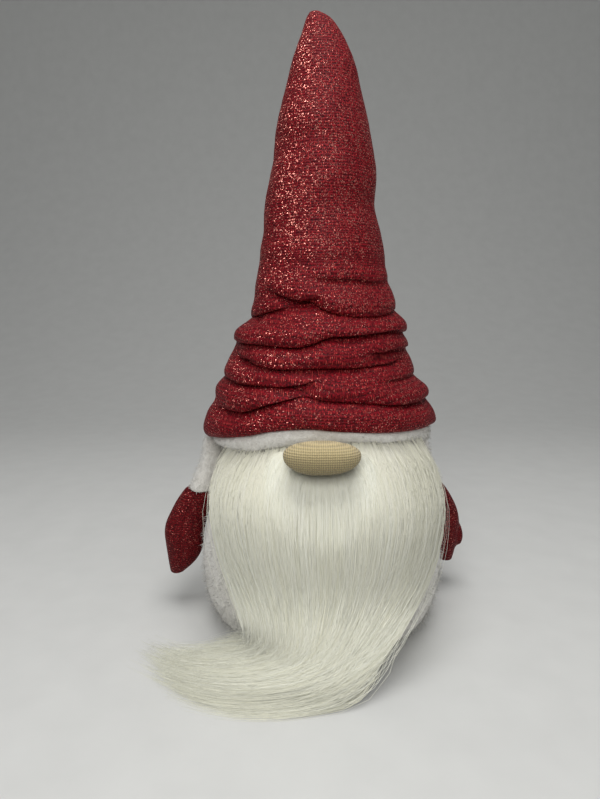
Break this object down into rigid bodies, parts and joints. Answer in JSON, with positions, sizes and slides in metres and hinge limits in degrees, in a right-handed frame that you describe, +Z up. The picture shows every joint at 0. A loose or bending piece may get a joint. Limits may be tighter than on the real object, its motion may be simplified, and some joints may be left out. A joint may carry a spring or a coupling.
{
  "type": "tomte gnome figurine",
  "caption": "Free-standing stuffed gnome with a tall slouched red hat, knitted nose, floor-length pale beard, and soft arms with mittens that lift and swing.",
  "frame": {"origin": "middle of the flat underside that the figure stands on", "axes": "+Z up to the hat's tip, -Y the way the figure faces, +X the figure's left"},
  "size_m": [0.192, 0.1754, 0.342],
  "materials": {
    "white_fleece": "matt short pile",
    "red_glitter_knit": "ribbed knit with metallic glitter thread",
    "beige_knit": "matt fine knit",
    "long_pile": "long straight satin fibres",
    "cotton": "matt plain weave",
    "fibre_filling": "loose fibre",
    "thread": "twisted thread",
    "board": "raw grey board",
    "pellet": "matt"
  },
  "bodies": {
    "figure": {"body_cover": "white_fleece", "base_disc": "board", "pellet_pouch": "cotton", "pellets": "pellet", "body_filling": "fibre_filling", "neck_tie": "thread", "hat_shell": "red_glitter_knit", "hat_lining": "white_fleece", "hat_filling": "fibre_filling", "brow_band": "white_fleece", "nose_cover": "beige_knit", "nose_filling": "fibre_filling", "nose_thread": "thread", "beard_backing": "cotton", "beard_pile": "long_pile"},
    "right_tack": {"right_arm_tack": "thread"},
    "right_arm": {"right_sleeve": "white_fleece", "right_arm_filling": "fibre_filling", "right_mitten": "red_glitter_knit", "right_mitten_filling": "fibre_filling"},
    "left_tack": {"left_arm_tack": "thread"},
    "left_arm": {"left_sleeve": "white_fleece", "left_arm_filling": "fibre_filling", "left_mitten": "red_glitter_knit", "left_mitten_filling": "fibre_filling"}
  },
  "joints": [
    {"name": "right_arm_swing", "type": "hinge", "parent": "figure", "child": "right_tack", "pos_m": [-0.06443, 0.00338, 0.10536], "axis": [-0.9986, 0.0523, 0], "range_deg": [-20, 25]},
    {"name": "right_arm_lift", "type": "hinge", "parent": "right_tack", "child": "right_arm", "pos_m": [-0.06443, 0.00338, 0.10536], "axis": [0.0523, 0.9986, 0], "range_deg": [0, 60]},
    {"name": "left_arm_swing", "type": "hinge", "parent": "figure", "child": "left_tack", "pos_m": [0.06085, 0.02215, 0.10218], "axis": [-0.9397, -0.342, 0], "range_deg": [-20, 25]},
    {"name": "left_arm_lift", "type": "hinge", "parent": "left_tack", "child": "left_arm", "pos_m": [0.06085, 0.02215, 0.10218], "axis": [0.342, -0.9397, 0], "range_deg": [0, 60]}
  ]
}
